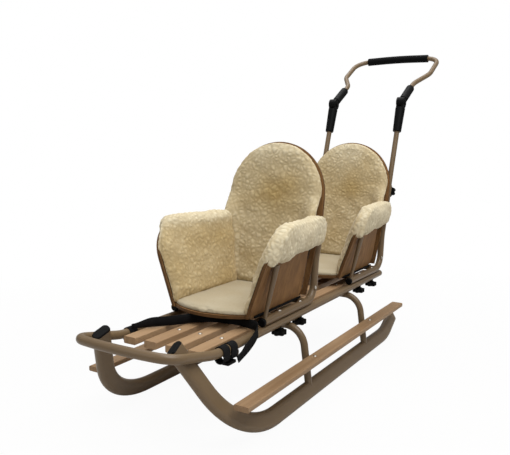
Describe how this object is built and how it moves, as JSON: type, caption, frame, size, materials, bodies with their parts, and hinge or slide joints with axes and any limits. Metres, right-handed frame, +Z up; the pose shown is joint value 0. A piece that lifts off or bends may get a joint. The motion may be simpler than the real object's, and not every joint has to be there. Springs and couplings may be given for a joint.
{
  "type": "two-seat push snow sled",
  "caption": "Steel tube push sled with a slatted deck, splayed runners, footboards, sheepskin-lined bucket seats and a folding push handle.",
  "frame": {"origin": "on the ground under the middle of the whole sled", "axes": "+X forward, +Y to the rider's left, +Z up"},
  "size_m": [1.7808, 0.4756, 1.0593],
  "materials": {
    "steel_paint": "satin taupe powder coat",
    "beech": "clear varnished beech",
    "plywood": "brown stained plywood",
    "sheepskin": "curly cream wool",
    "fleece_short": "short cream fleece",
    "black_plastic": "moulded satin black",
    "foam_grip": "matt black foam",
    "webbing": "woven black webbing"
  },
  "bodies": {
    "sled": {"clamp_knobs": "black_plastic", "deck_crossbar": "steel_paint", "deck_frame": "steel_paint", "deck_plugs": "black_plastic", "deck_slat_1": "beech", "deck_slat_2": "beech", "deck_slat_3": "beech", "deck_slat_4": "beech", "footboard_left": "beech", "footboard_right": "beech", "footboard_tabs": "steel_paint", "front_back": "plywood", "front_cross_tubes": "steel_paint", "front_fleece_arm_left": "sheepskin", "front_fleece_arm_right": "sheepskin", "front_fleece_back": "sheepskin", "front_fleece_pan": "fleece_short", "front_pan": "plywood", "front_panel_left": "plywood", "front_panel_right": "plywood", "front_post_left": "steel_paint", "front_post_right": "steel_paint", "front_side_frame_left": "steel_paint", "front_side_frame_right": "steel_paint", "knuckle_lower_left": "black_plastic", "knuckle_lower_right": "black_plastic", "knuckle_pins": "black_plastic", "leg_arch_front": "steel_paint", "leg_arch_rear": "steel_paint", "push_knobs": "black_plastic", "push_tube_left": "steel_paint", "push_tube_right": "steel_paint", "rail_caps": "black_plastic", "rear_back": "plywood", "rear_cross_tubes": "steel_paint", "rear_fleece_arm_left": "sheepskin", "rear_fleece_arm_right": "sheepskin", "rear_fleece_back": "sheepskin", "rear_fleece_pan": "fleece_short", "rear_pan": "plywood", "rear_panel_left": "plywood", "rear_panel_right": "plywood", "rear_post_left": "steel_paint", "rear_post_right": "steel_paint", "rear_side_frame_left": "steel_paint", "rear_side_frame_right": "steel_paint", "runner_left": "steel_paint", "runner_plugs": "black_plastic", "runner_right": "steel_paint", "strap_buckle": "webbing", "strap_loops": "webbing", "tow_strap": "webbing"},
    "handle": {"handle_bow": "steel_paint", "handle_grip": "foam_grip", "knuckle_upper_left": "black_plastic", "knuckle_upper_right": "black_plastic"}
  },
  "joints": [
    {"name": "handle_fold", "type": "hinge", "parent": "sled", "child": "handle", "pos_m": [-0.51524, 0, 0.83622], "axis": [0, 1, 0], "range_deg": [-60, 120]}
  ]
}
